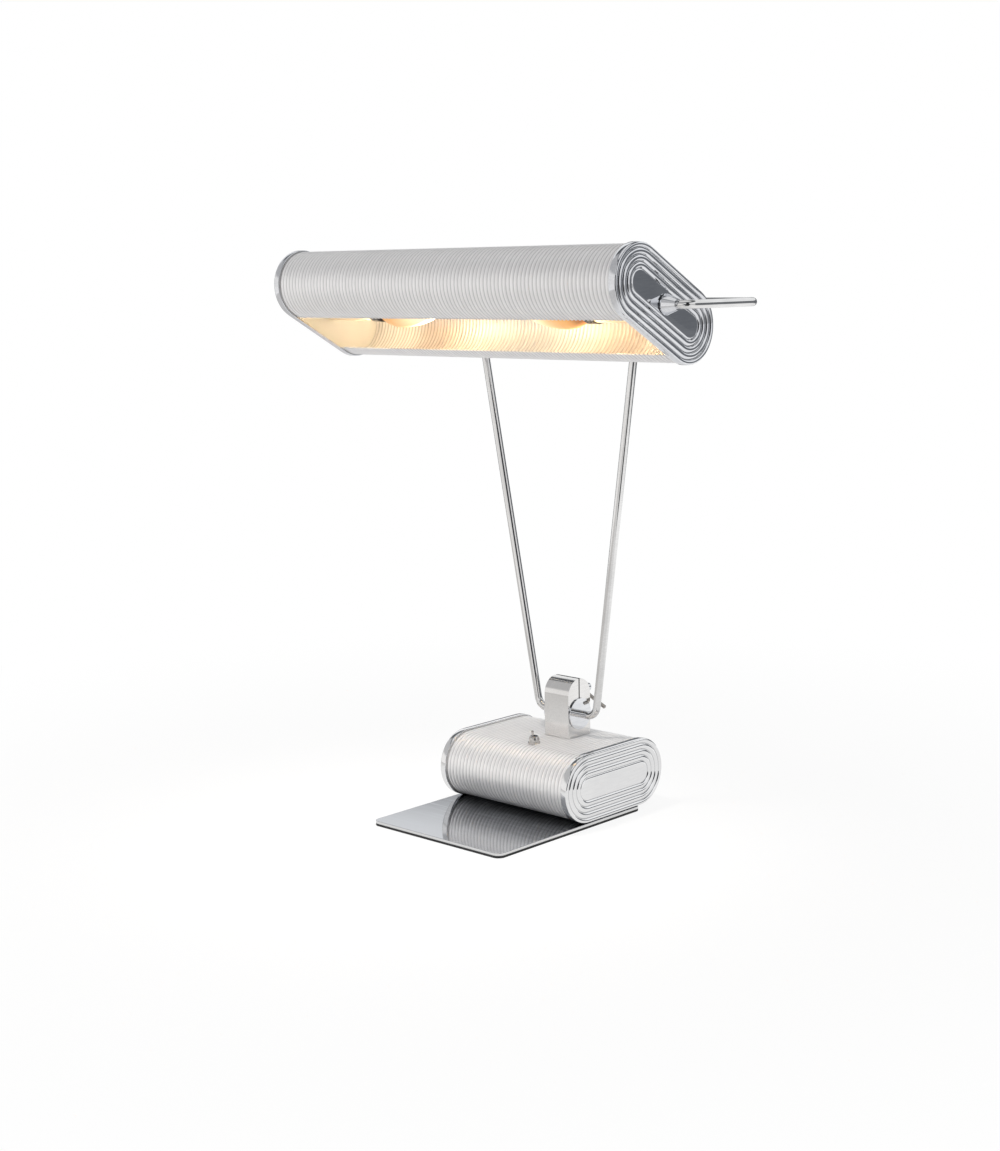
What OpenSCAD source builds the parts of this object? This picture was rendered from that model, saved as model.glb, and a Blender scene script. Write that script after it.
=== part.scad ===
// Desk lamp with a ribbed stadium-section base and a matching long ribbed shade.
// Units: mm. X runs along the shade, -Y is the front, +Z is up.
// Origin: centre of the underside of the rubber pad that the lamp stands on.

/* [Ribbed shells] */
// Outer radius of a shell's round sides, at the rib crests
shell_r = 25.4; // [20:0.1:32]
// Width of a shell's flat sides, between the centres of its round sides
shell_flat = 62; // [50:1:80]
// Distance from one rib to the next
rib_pitch = 3.5; // [3:0.1:6]
// Height of a rib
rib_depth = 0.7; // [0.4:0.1:1]
// Thickness of the shell's sheet
sheet = 0.6; // [0.5:0.1:1]

/* [End caps] */
// How far a cap's rim stands out from the shell
cap_proud = 1.1; // [0.8:0.1:2]
// Length of the smooth band over the shell's end
cap_band = 6; // [4:0.5:10]
// Thickness of a cap's face, at the crests of its beads
cap_face = 3; // [2.5:0.1:5]
// Depth of the grooves between the beads
bead_depth = 1.3; // [0.8:0.1:1.6]
// Half width of a cap's flat centre, with its rounded edge
cap_flat_r = 9; // [8.5:0.1:10]
// Recess of the flat centre below the beads
cap_flat_depth = 0.5; // [0.3:0.1:1]

/* [Base] */
// Length of the base body over its caps
base_length = 132; // [110:1:180]
// Length of the steel plate from front to rear
plate_length = 162; // [140:1:200]
// Thickness of the steel plate
plate_thick = 2.6; // [2:0.2:5]
// Thickness of the pad under the plate
pad_thick = 1.2; // [1:0.2:3]
// Radius of the plate's corners
plate_corner = 6; // [2:1:15]
// Height of the ballast block inside the base
ballast_height = 20; // [10:1:22]

/* [Stem] */
// How far the stem stands to the right of the middle
stem_x = 8; // [0:1:12]
// How far the stem stands behind the middle of the base body
stem_back = 11.5; // [6:0.5:14]
// Width of the clamp block
block_width = 24.5; // [20:0.5:30]
// Depth of the clamp block from front to rear
block_depth = 26; // [25:0.5:30]
// Height of the clamp block above the base body
block_height = 45.8; // [44:0.2:55]
// Height of the frame's hinge above the base body
pivot_height = 17.9; // [17:0.1:20]
// Radius of the hinge barrel
barrel_r = 9.5; // [8:0.1:9.8]
// Height of the clamp screw above the hinge
clamp_rise = 15.5; // [15:0.1:18]
// Length of the clamp lever from the screw's axis to its tip
clamp_reach = 27; // [18:1:27]
// Angle of the clamp lever below level, at rest
clamp_angle = 26; // [0:0.5:45]

/* [Frame] */
// Outside diameter of the frame tube
tube_d = 6; // [5:0.5:6]
// Bore of the frame tube
tube_bore = 4.4; // [3:0.1:4.6]
// Height of the shade's axis above the frame's hinge
arm_rise = 318.4; // [240:1:360]
// Distance of each arm from the stem's middle, at the hinge
arm_low = 29; // [27:0.5:40]
// Distance of each arm from the lamp's middle, at the top
arm_top = 82; // [60:1:110]
// Bend radius of the arms in the upright plane
arm_bend_r = 9; // [6:0.5:12]
// Distance of the shade's axis in front of the arms
bar_reach = 81; // [76:1:110]
// Gap from a cap's beads to the centre line of the side bar
bar_gap = 17; // [15:0.5:24]
// Bend radius at the rear of the side bar
bar_rear_r = 9; // [6:0.5:14]
// Bend radius at the front of the side bar
bar_front_r = 7; // [5:0.5:8]
// Diameter of a hub cone at the cap
hub_d = 14.5; // [14:0.1:17]
// Diameter of a hub cone at the tube
hub_small_d = 7.6; // [7.4:0.1:10]

/* [Shade] */
// Length of the shade over its caps
shade_length = 340; // [320:1:400]
// Tilt of the shade's section, front up
shade_tilt = 29.5; // [0:0.5:60]
// Front edge of the light slot, from the shade's axis
slot_front = 24.5; // [15:0.5:28]
// Rear edge of the light slot, from the shade's axis
slot_rear = 25.5; // [15:0.5:28]

/* [Lampholders and bulbs] */
// Outside diameter of a lampholder
holder_d = 25; // [24:0.5:28]
// Length of a lampholder
holder_length = 52; // [45:1:55]
// Outside diameter of the ring at a lampholder's mouth
ring_d = 27; // [26.5:0.5:30]
// Largest diameter of a bulb
bulb_d = 35; // [30:1:36]
// Length of a bulb's glass in front of the ring
bulb_length = 71; // [60:1:76]

/* [Hidden] */
$fn = 96;
eps = 0.01;

plate_top = pad_thick + plate_thick;
cap_rim_r = shell_r + cap_proud;
cap_edge = 2;
body_y = plate_length / 2 - shell_flat / 2;
body_z = plate_top + cap_rim_r;
shell_top = body_z + shell_r;
shell_bottom = body_z - shell_r;
shell_inner_r = shell_r - rib_depth - sheet;
inner_top = body_z + shell_inner_r;
inner_bottom = body_z - shell_inner_r;

pivot_y = body_y + stem_back;
pivot_z = shell_top + pivot_height;
shade_y = pivot_y - bar_reach;
shade_z = pivot_z + arm_rise;
bar_x = shade_length / 2 + bar_gap;
bend_swell = 0.02;
run_overlap = 0.3;
tube_in_hub = 4.7;

// Running clearance on a radius, and the gap between faces that turn past each other.
run_fit = 0.05;
face_gap = 0.1;
// Radial play of a screw or tube fixed in its hole.
fixed_fit = 0.02;

block_front = pivot_y - block_depth / 2;
block_rear = pivot_y + block_depth / 2;
block_top = shell_top + block_height;
disc_thick = 1;
disc_r = barrel_r + 2.9;
disc_gap = 0.2;
barrel_half = block_width / 2 + disc_gap;
tube_end = 5;
slit_width = 1.2;

clamp_z = pivot_z + clamp_rise;
clamp_r = 2;
clamp_head_r = 3.6;
clamp_head_length = 12.8;
clamp_bar_r = 1.5;
clamp_bar_y = block_rear + face_gap + 3.75;

knuckle_screw_gap = 8;
knuckle_screw_r = 2.5;
knuckle_screw_depth = 6.5;
stiffener_thick = 2;
stiffener_half = block_width + 5.5;
stiffener_front = pivot_y - block_depth / 2 - 9;
stiffener_rear = pivot_y + block_depth / 2 + 5;
wire_hole_r = 3;

ballast_half_x = base_length / 2 - 14;
plate_screw_x = ballast_half_x - 17;
plate_screw_r = 2.5;
plate_head_r = 4.8;
plate_head_depth = 2.2;
plate_screw_bite = 10;
ballast_half_y = shell_flat / 2 - 2;
ballast_top = inner_bottom + ballast_height;

switch_y = body_y - shell_flat / 2 + 3;
switch_washer_thick = 0.8;
switch_bush_r = 3.1;
switch_nut_r = 4.5;
switch_body_top = inner_top - face_gap - switch_washer_thick;
switch_nut_base = shell_top + switch_washer_thick;
switch_nut_top = shell_top + 5.9;
switch_mouth_r = 2.6;
lever_pivot_z = shell_top + 0.8;
lever_lean = 12.5;
lever_length = 9.7;

gland_r = 4.9;
gland_bore_r = 3.3;
gland_flange_r = 7;
gland_rear = body_y + shell_flat / 2 + shell_r;
gland_inner = body_y + shell_flat / 2 + sqrt(pow(shell_inner_r, 2) - pow(gland_flange_r, 2));

terminal_x = 20 - ballast_half_x;
terminal_y = body_y + 10;
terminal_size = [20, 14, 11];

shade_half = shade_length / 2;
hub_face = shade_half - cap_flat_depth;
pivot_washer_thick = 0.5;
hub_base = hub_face + pivot_washer_thick + face_gap;
hub_end = bar_x - bar_front_r;
nipple_r = 5;
nipple_bore_r = 3.2;
nipple_outer = hub_base + 3.8;
cap_inside = shade_half - cap_face;
wave_washer_thick = 0.8;
nut_outer = cap_inside - face_gap - wave_washer_thick;
nut_thick = 4;
holder_back = nut_outer - nut_thick;
holder_mouth = holder_back - holder_length;
holder_wall = 1.5;
holder_floor = 5;
nipple_inner = holder_back - holder_floor + 1;
ring_length = 7;
ring_mouth = holder_mouth - ring_length;
bulb_cap_r = 7;
bulb_cap_length = 23;
bulb_neck_r = 9.9;
bulb_cap_mouth = holder_mouth - 3;
bulb_cap_end = bulb_cap_mouth + bulb_cap_length;
glass = 0.8;

// ---- Helpers ----

// Turns a child drawn along Z so that it lies along X. Its own X then points down.
module along_x() {
  rotate([0, 90, 0]) children();
}

// Turns a child drawn along Z so that it lies along Y.
module along_y() {
  rotate([-90, 0, 0]) children();
}

// Places a child, drawn about the shade's axis, at the shade's place and tilt.
module at_shade() {
  translate([0, shade_y, shade_z]) rotate([-shade_tilt, 0, 0]) children();
}

// A flat ring or bush between two distances along Z.
module bush(outer_r, inner_r, from, to) {
  translate([0, 0, from]) linear_extrude(to - from) difference() {
    circle(r = outer_r);
    circle(r = inner_r);
  }
}

// A plate with round corners, its underside at zero height.
module rounded_plate(size_x, size_y, corner, height) {
  translate([-size_x / 2 + corner, -size_y / 2, 0]) cube([size_x - 2 * corner, size_y, height]);
  translate([-size_x / 2, -size_y / 2 + corner, 0]) cube([size_x, size_y - 2 * corner, height]);
  for (side_x = [-1, 1], side_y = [-1, 1])
    translate([side_x * (size_x / 2 - corner), side_y * (size_y / 2 - corner), 0])
      cylinder(r = corner, h = height);
}

// ---- Ribbed shells ----

// One face of the ribbed sheet as [radius, distance along] points.
function rib_line(length, count, crest_r) = let (step = length / count, start = -length / 2) [
  [crest_r - rib_depth, start],
  for (i = [0 : count - 1], k = [0 : 3])
    [crest_r - (k == 0 || k == 3 ? rib_depth : 0), start + (i + [0.14, 0.36, 0.64, 0.86][k]) * step],
  [crest_r - rib_depth, -start]];

// The cut edge of the ribbed sheet: its outer face, then its inner face back again.
function rib_section(length) = let (count = round(length / rib_pitch),
  outer = rib_line(length, count, shell_r), inner = rib_line(length, count, shell_r - sheet),
  last = len(inner) - 1) concat(outer, [for (i = [last : -1 : 0]) inner[i]]);

// A section swept round one round side of the stadium; side is 1 at the rear, -1 at the front.
module round_side(points, side) {
  translate([0, side * shell_flat / 2, 0]) rotate([0, 0, side > 0 ? 0 : 180])
    rotate_extrude(angle = 180) polygon(points);
}

// A section run straight from one Y to another, on the lower (+1) or upper (-1) flat side.
module flat_side(points, side, from, to) {
  translate([0, to, 0]) rotate([90, 0, 0]) linear_extrude(to - from)
    polygon([for (p = points) [side * p[0], p[1]]]);
}

// ---- End caps ----

// One bead of a cap between two grooves, as [radius, depth below the crests] points.
function bead(from, to) = [for (a = [0 : 22.5 : 157.5])
  [from + (to - from) * (1 - cos(a)) / 2, bead_depth * (1 - sin(a))]];

// The outer half of a cap's section, as [radius, depth] points from the centre to the band's edge.
function cap_section() = let (pitch = (cap_rim_r - cap_flat_r + 0.8) / 4) concat(
  [[0, cap_flat_depth]],
  [for (a = [90 : 22.5 : 157.5])
    [cap_flat_r - cap_edge * (1 + cos(a)), bead_depth - (bead_depth - cap_flat_depth) * sin(a)]],
  bead(cap_flat_r, cap_flat_r + pitch),
  bead(cap_flat_r + pitch, cap_flat_r + 2 * pitch),
  bead(cap_flat_r + 2 * pitch, cap_flat_r + 3 * pitch),
  [for (a = [0 : 22.5 : 90])
    [cap_flat_r + 3 * pitch + (cap_rim_r - cap_flat_r - 3 * pitch) * 0.6 * (1 - cos(a)),
     bead_depth * (1 - sin(a))]],
  [for (a = [67.5 : -22.5 : 0])
    [cap_rim_r - (cap_rim_r - cap_flat_r - 3 * pitch) * 0.4 * (1 - cos(a)), 1.6 * (1 - sin(a))]],
  [[cap_rim_r, cap_face + cap_band], [shell_r + fixed_fit, cap_face + cap_band],
   [shell_r + fixed_fit, cap_face], [0, cap_face]]);

// A cap about the X axis, with the crests of its beads at half_length.
module end_cap(half_length) {
  points = [for (p = cap_section()) [p[0], half_length - p[1]]];
  last = len(points) - 1;
  inner_points = [for (i = [last : -1 : 0]) [-points[i][0], points[i][1]]];
  along_x() {
    round_side(points, 1);
    round_side(points, -1);
    translate([0, shell_flat / 2, 0]) rotate([90, 0, 0]) linear_extrude(shell_flat)
      polygon(concat([for (i = [1 : last - 1]) points[i]], [for (i = [1 : last - 1]) inner_points[i]]));
  }
}

// ---- Base ----

module plate_pad() {
  color("#1c1c1e") rounded_plate(base_length, plate_length, plate_corner, pad_thick);
}

module base_plate() {
  color("#c9cdd2") difference() {
    translate([0, 0, pad_thick]) rounded_plate(base_length, plate_length, plate_corner, plate_thick);
    for (side = [-1, 1]) translate([side * plate_screw_x, body_y, pad_thick]) {
      translate([0, 0, -eps]) cylinder(r = plate_screw_r + 0.1, h = plate_thick + 2 * eps);
      translate([0, 0, -eps]) cylinder(r = plate_head_r + 0.1, h = plate_head_depth + eps);
    }
  }
}

module plate_screws() {
  color("#8a8d91") for (side = [-1, 1]) translate([side * plate_screw_x, body_y, pad_thick]) {
    cylinder(r = plate_head_r, h = plate_head_depth);
    cylinder(r = plate_screw_r, h = inner_bottom + plate_screw_bite - pad_thick);
  }
}

module plate_spacers() {
  color("#2a2a2c") for (side = [-1, 1]) translate([side * plate_screw_x, body_y, 0])
    bush(8, plate_screw_r + 0.1, plate_top, shell_bottom);
}

module base_shell() {
  points = rib_section(base_length - 2 * cap_face);
  color("#d5d7d9") difference() {
    translate([0, body_y, body_z]) along_x() {
      round_side(points, 1);
      round_side(points, -1);
      flat_side(points, 1, -shell_flat / 2, shell_flat / 2);
      flat_side(points, -1, -shell_flat / 2, shell_flat / 2);
    }
    for (side = [-1, 1]) translate([side * plate_screw_x, body_y, shell_bottom - 1])
      cylinder(r = plate_screw_r + 0.1, h = 5);
    for (side = [-1, 1]) translate([stem_x, pivot_y + side * knuckle_screw_gap, inner_top - 1])
      cylinder(r = knuckle_screw_r + 0.1, h = 5);
    translate([stem_x, pivot_y, inner_top - 1]) cylinder(r = wire_hole_r, h = 5);
    translate([stem_x, switch_y, inner_top - 1]) cylinder(r = switch_bush_r + 0.1, h = 5);
    translate([0, gland_rear - 5, body_z]) along_y() cylinder(r = gland_r + 0.05, h = 10);
  }
}

module base_cap_left() {
  color("#dfe1e4") translate([0, body_y, body_z]) mirror([1, 0, 0]) end_cap(base_length / 2);
}

module base_cap_right() {
  color("#dfe1e4") translate([0, body_y, body_z]) end_cap(base_length / 2);
}

module base_ballast() {
  color("#55585c") difference() {
    translate([-ballast_half_x, body_y - ballast_half_y, inner_bottom])
      cube([2 * ballast_half_x, 2 * ballast_half_y, ballast_height]);
    for (side = [-1, 1]) translate([side * plate_screw_x, body_y, inner_bottom - eps])
      cylinder(r = plate_screw_r + fixed_fit, h = plate_screw_bite + 2);
  }
}

module terminal_block() {
  color("#e8e6df") difference() {
    translate([terminal_x - terminal_size[0] / 2, terminal_y - terminal_size[1] / 2, ballast_top])
      cube(terminal_size);
    for (side = [-1, 1]) translate([terminal_x + side * 5, terminal_y, ballast_top]) {
      translate([0, -terminal_size[1], 4.5]) along_y() cylinder(r = 1.6, h = 2 * terminal_size[1]);
      for (end = [-1, 1]) translate([0, end * 4, 4.5]) cylinder(r = 1.5 + fixed_fit, h = 10);
    }
  }
}

module terminal_screws() {
  color("#b9a25a") for (side = [-1, 1], end = [-1, 1])
    translate([terminal_x + side * 5, terminal_y + end * 4, ballast_top + 6]) cylinder(r = 1.5, h = 4);
}

module cord_gland() {
  color("#202124") difference() {
    translate([0, gland_inner - 4, body_z]) along_y() cylinder(r = gland_r, h = gland_rear - gland_inner + 7);
    translate([0, gland_inner - 5, body_z]) along_y() cylinder(r = gland_bore_r, h = 20);
  }
  color("#202124") difference() {
    translate([0, gland_rear - 1.2, body_z]) along_y() cylinder(r = gland_flange_r, h = 3.6);
    translate([0, gland_rear - 2, body_z]) along_y() cylinder(r = gland_r - 0.2, h = 8);
    translate([-20, body_y + shell_flat / 2, body_z]) along_x() cylinder(r = shell_r + eps, h = 40);
  }
}

module gland_nut() {
  color("#202124") translate([0, 0, body_z]) difference() {
    translate([0, gland_inner - 3, 0]) along_y() cylinder(r = gland_flange_r, h = 3, $fn = 6);
    translate([0, gland_inner - 4, 0]) along_y() cylinder(r = gland_r + fixed_fit, h = 5);
  }
}

module top_stiffener() {
  color("#8a8d91") difference() {
    translate([stem_x - stiffener_half, stiffener_front, inner_top - stiffener_thick])
      cube([2 * stiffener_half, stiffener_rear - stiffener_front, stiffener_thick]);
    for (side = [-1, 1])
      translate([stem_x, pivot_y + side * knuckle_screw_gap, inner_top - stiffener_thick - 1])
        cylinder(r = knuckle_screw_r + 0.1, h = stiffener_thick + 2);
    translate([stem_x, pivot_y, inner_top - stiffener_thick - 1])
      cylinder(r = wire_hole_r, h = stiffener_thick + 2);
  }
}

module knuckle_screws() {
  head_top = inner_top - stiffener_thick;
  color("#8a8d91") for (side = [-1, 1])
    translate([stem_x, pivot_y + side * knuckle_screw_gap, head_top - 3]) {
      cylinder(r = 4.2, h = 3);
      cylinder(r = knuckle_screw_r, h = shell_top + knuckle_screw_depth - head_top + 3);
    }
}

module knuckle_block() {
  round_z = block_top - block_depth / 2;
  color("#c4c6c9") difference() {
    union() {
      translate([stem_x - block_width / 2, block_front, shell_top])
        cube([block_width, block_depth, round_z - shell_top]);
      translate([stem_x - block_width / 2, pivot_y, round_z]) along_x()
        cylinder(r = block_depth / 2, h = block_width);
    }
    translate([stem_x - block_width, pivot_y, pivot_z]) along_x()
      cylinder(r = barrel_r + run_fit, h = 2 * block_width);
    translate([stem_x - block_width, pivot_y - slit_width / 2, pivot_z])
      cube([2 * block_width, slit_width, block_top]);
    translate([stem_x, block_front + 4, clamp_z]) along_y() cylinder(r = clamp_r + run_fit, h = block_depth);
    for (side = [-1, 1]) translate([stem_x, pivot_y + side * knuckle_screw_gap, shell_top - 1])
      cylinder(r = knuckle_screw_r + fixed_fit, h = knuckle_screw_depth + 1.5);
    translate([stem_x, pivot_y, shell_top - 1]) cylinder(r = wire_hole_r, h = pivot_height);
  }
}

// ---- Switch ----

module switch_body() {
  color("#2b3f6b") translate([stem_x, switch_y, 0]) {
    translate([-4, -6.5, switch_body_top - 11]) cube([8, 13, 11]);
    bush(switch_bush_r, 2.3, switch_body_top - eps, switch_nut_top - 1.2);
    for (k = [-1, 0, 1]) translate([-1, k * 4.7 - 0.4, switch_body_top - 15]) cube([2, 0.8, 4 + eps]);
  }
}

module switch_washers() {
  color("#b8bbc0") translate([stem_x, switch_y, 0]) {
    bush(4.75, switch_bush_r + fixed_fit, switch_body_top, switch_body_top + switch_washer_thick);
    bush(4.75, switch_bush_r + fixed_fit, shell_top, switch_nut_base);
  }
}

module switch_nut() {
  dome_r = switch_nut_r - 0.3;
  dome_base = switch_nut_base + 1.4;
  color("#d8dadd") translate([stem_x, switch_y, 0]) rotate_extrude() polygon(concat(
    [[switch_bush_r + fixed_fit, switch_nut_base], [switch_nut_r, switch_nut_base],
     [switch_nut_r, switch_nut_base + 0.6], [dome_r, switch_nut_base + 0.7]],
    [for (a = [0 : 15 : 75]) [switch_mouth_r + (dome_r - switch_mouth_r) * cos(a),
      dome_base + (switch_nut_top - dome_base) * sin(a)]],
    [[switch_mouth_r, switch_nut_top], [switch_mouth_r, switch_nut_top - 1.1],
     [switch_bush_r + fixed_fit, switch_nut_top - 1.1]]));
}

module switch_lever() {
  color("#dfe1e4") translate([stem_x, switch_y, lever_pivot_z]) rotate([lever_lean, 0, 0]) {
    rotate_extrude() polygon([[0, -1.9], [1.2, -1.5], [1.9, 0], [1.2, 1.5], [0.75, 2],
      [0.8, 5], [1.1, lever_length - 1], [0.9, lever_length - 0.3], [0.5, lever_length], [0, lever_length]]);
  }
}

// ---- Clamp lever ----

module clamp_screw() {
  shank_end = block_front + 5 - block_rear - face_gap;
  color("#d0d2d5") difference() {
    translate([stem_x, block_rear + face_gap, clamp_z]) along_y() rotate_extrude()
      polygon([[0, shank_end], [clamp_r - 0.5, shank_end], [clamp_r, shank_end + 0.5], [clamp_r, 0],
        [clamp_head_r, 0], [clamp_head_r, clamp_head_length - 1.2],
        [clamp_head_r - 0.4, clamp_head_length - 0.5], [clamp_head_r - 1.3, clamp_head_length - 0.1],
        [0, clamp_head_length]]);
    translate([stem_x, clamp_bar_y, clamp_z]) rotate([0, 90 + clamp_angle, 0])
      translate([0, 0, -clamp_head_r - 1])
        cylinder(r = clamp_bar_r + fixed_fit, h = 2 * clamp_head_r + 2);
  }
}

module clamp_bar() {
  color("#d0d2d5") translate([stem_x, clamp_bar_y, clamp_z])
    rotate([0, 90 + clamp_angle, 0]) rotate_extrude()
      polygon([[0, -clamp_head_r - 0.6], [clamp_bar_r, -clamp_head_r - 0.6],
        [clamp_bar_r, clamp_reach - 0.5], [clamp_bar_r - 0.5, clamp_reach], [0, clamp_reach]]);
}

// ---- Frame ----

module knuckle_barrel() {
  color("#c4c6c9") translate([stem_x, pivot_y, pivot_z]) difference() {
    translate([-barrel_half, 0, 0]) along_x() cylinder(r = barrel_r, h = 2 * barrel_half);
    translate([-block_width, 0, 0]) along_x() cylinder(r = tube_d / 2 + fixed_fit, h = 2 * block_width);
    translate([-3.5, -4, -barrel_r - 1]) cube([7, 8, barrel_r + 1]);
  }
}

module knuckle_discs() {
  color("#dfe1e4") for (side = [-1, 1]) translate([stem_x, pivot_y, pivot_z]) along_x()
    bush(disc_r, tube_d / 2 + fixed_fit, side > 0 ? barrel_half : -barrel_half - disc_thick,
      side > 0 ? barrel_half + disc_thick : -barrel_half);
}

// A bend of the frame's tube, turned about Z; it is a hair thicker than the straight runs.
module bend(diameter, bend_r, turn) {
  rotate_extrude(angle = turn) translate([bend_r, 0]) circle(r = diameter / 2 + bend_swell);
}

// A straight run of the frame's tube along Z, let into the bends at its ends.
module run(diameter, length) {
  translate([0, 0, -run_overlap]) cylinder(d = diameter, h = length + 2 * run_overlap);
}

// One half of the frame as a solid rod, for the right side. start and low are measured from the
// lamp's middle, and over is how far the rod runs past the tube's own ends.
module frame_rod(diameter, start, low, over) {
  lean = atan((arm_top - low) / arm_rise);
  turn = 90 - lean;
  tangent = arm_bend_r * tan(turn / 2);
  arm_length = sqrt(pow(arm_top - low, 2) + pow(arm_rise, 2)) - 2 * tangent;
  translate([0, pivot_y, 0]) {
    translate([start - over, 0, pivot_z]) along_x() run(diameter, low - tangent - start + over);
    translate([low - tangent, 0, pivot_z + arm_bend_r]) rotate([90, 0, 0]) rotate([0, 0, -90])
      bend(diameter, arm_bend_r, turn);
    translate([low + tangent * sin(lean), 0, pivot_z + tangent * cos(lean)]) rotate([0, lean, 0])
      run(diameter, arm_length);
    translate([arm_top + tangent, 0, shade_z - arm_bend_r]) rotate([90, 0, 0]) rotate([0, 0, 90])
      bend(diameter, arm_bend_r, turn);
    translate([arm_top + tangent, 0, shade_z]) along_x()
      run(diameter, bar_x - bar_rear_r - arm_top - tangent);
  }
  translate([bar_x - bar_rear_r, pivot_y - bar_rear_r, shade_z]) bend(diameter, bar_rear_r, 90);
  translate([bar_x, shade_y + bar_front_r, shade_z]) along_y()
    run(diameter, bar_reach - bar_rear_r - bar_front_r);
  translate([bar_x - bar_front_r, shade_y + bar_front_r, shade_z]) rotate([0, 0, -90])
    bend(diameter, bar_front_r, 90);
  translate([hub_end - tube_in_hub - over, shade_y, shade_z]) along_x() run(diameter, tube_in_hub + over);
}

// One half of the frame as a tube.
module frame_side(start, low) {
  difference() {
    frame_rod(tube_d, start, low, 0);
    frame_rod(tube_bore, start, low, 1);
  }
}

module frame_tube_left() {
  color("#dcdee1") mirror([1, 0, 0]) frame_side(tube_end - stem_x, arm_low - stem_x);
}

module frame_tube_right() {
  color("#dcdee1") frame_side(stem_x + tube_end, stem_x + arm_low);
}

// Places a child, drawn along Z about the shade's axis, on the right (1) or left (-1) side.
module at_side(side) {
  translate([0, shade_y, shade_z]) mirror([side > 0 ? 0 : 1, 0, 0]) along_x() children();
}

module hub_cone() {
  rotate_extrude() polygon([[nipple_r + fixed_fit, hub_base], [hub_d / 2, hub_base],
    [hub_d / 2, hub_base + 0.8], [hub_small_d / 2, hub_end], [tube_d / 2 + fixed_fit, hub_end],
    [tube_d / 2 + fixed_fit, nipple_outer], [nipple_r + fixed_fit, nipple_outer]]);
}

module hub_cone_left() {
  color("#dfe1e4") at_side(-1) hub_cone();
}

module hub_cone_right() {
  color("#dfe1e4") at_side(1) hub_cone();
}

module pivot_nipple_left() {
  color("#b9a25a") at_side(-1) bush(nipple_r, nipple_bore_r, nipple_inner, nipple_outer);
}

module pivot_nipple_right() {
  color("#b9a25a") at_side(1) bush(nipple_r, nipple_bore_r, nipple_inner, nipple_outer);
}

module wave_washer_left() {
  color("#9a9da1") at_side(-1) bush(8, nipple_r + fixed_fit, nut_outer, nut_outer + wave_washer_thick);
}

module wave_washer_right() {
  color("#9a9da1") at_side(1) bush(8, nipple_r + fixed_fit, nut_outer, nut_outer + wave_washer_thick);
}

module nipple_nut() {
  difference() {
    translate([0, 0, holder_back]) cylinder(r = 8, h = nut_thick, $fn = 6);
    translate([0, 0, holder_back - 1]) cylinder(r = nipple_r + fixed_fit, h = nut_thick + 2);
  }
}

module nipple_nut_left() {
  color("#b9a25a") at_side(-1) nipple_nut();
}

module nipple_nut_right() {
  color("#b9a25a") at_side(1) nipple_nut();
}

module lampholder() {
  floor_z = holder_back - holder_floor;
  rotate_extrude() polygon([[nipple_r + fixed_fit, holder_back], [holder_d / 2 - 1, holder_back],
    [holder_d / 2, holder_back - 1], [holder_d / 2, holder_mouth],
    [holder_d / 2 - holder_wall, holder_mouth], [holder_d / 2 - holder_wall, floor_z],
    [nipple_r + fixed_fit, floor_z]]);
}

module lampholder_left() {
  color("#e4c89a") at_side(-1) lampholder();
}

module lampholder_right() {
  color("#e4c89a") at_side(1) lampholder();
}

module holder_insert() {
  insert_r = holder_d / 2 - holder_wall - fixed_fit;
  insert_back = holder_back - holder_floor;
  rotate_extrude() polygon([[0, bulb_cap_end + 2.1], [bulb_cap_r + 0.1, bulb_cap_end + 2.1],
    [bulb_cap_r + 0.1, holder_mouth + 1], [insert_r, holder_mouth + 1], [insert_r, insert_back],
    [nipple_bore_r, insert_back], [nipple_bore_r, insert_back - 4], [0, insert_back - 4]]);
}

module holder_insert_left() {
  color("#efece4") at_side(-1) holder_insert();
}

module holder_insert_right() {
  color("#efece4") at_side(1) holder_insert();
}

module holder_ring() {
  rotate_extrude() polygon([[bulb_neck_r + 0.6, ring_mouth], [ring_d / 2 - 0.8, ring_mouth],
    [ring_d / 2, ring_mouth + 0.8], [ring_d / 2, holder_mouth + 1.5],
    [holder_d / 2 + fixed_fit, holder_mouth + 1.5], [holder_d / 2 + fixed_fit, holder_mouth],
    [bulb_neck_r + 0.6, holder_mouth]]);
}

module holder_ring_left() {
  color("#161617") at_side(-1) holder_ring();
}

module holder_ring_right() {
  color("#161617") at_side(1) holder_ring();
}

module bulb_cap() {
  rotate_extrude() polygon([[0, bulb_cap_end + 2], [2, bulb_cap_end + 2], [2.4, bulb_cap_end + 1.2],
    [5, bulb_cap_end], [bulb_cap_r, bulb_cap_end - 2], [bulb_cap_r, bulb_cap_mouth],
    [bulb_cap_r - 0.4, bulb_cap_mouth], [bulb_cap_r - 0.4, bulb_cap_end - 2.4], [0, bulb_cap_end - 1]]);
}

module bulb_cap_left() {
  color("#b9a25a") at_side(-1) bulb_cap();
}

module bulb_cap_right() {
  color("#b9a25a") at_side(1) bulb_cap();
}

// The bulb's outline as [radius, distance from the ring's mouth towards the tip] points.
function bulb_line(widest_r) = let (k = bulb_length / 71, w = widest_r / 17.5)
  [[9.9 * w, 0], [11.9 * w, 3 * k], [14.4 * w, 7 * k], [16.4 * w, 12 * k], [17.5 * w, 18 * k],
   [17.45 * w, 24 * k], [16.7 * w, 32 * k], [15.2 * w, 40 * k], [12.9 * w, 48 * k],
   [10 * w, 56 * k], [7 * w, 62 * k], [4.4 * w, 66 * k], [2 * w, 69.6 * k]];

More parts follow.
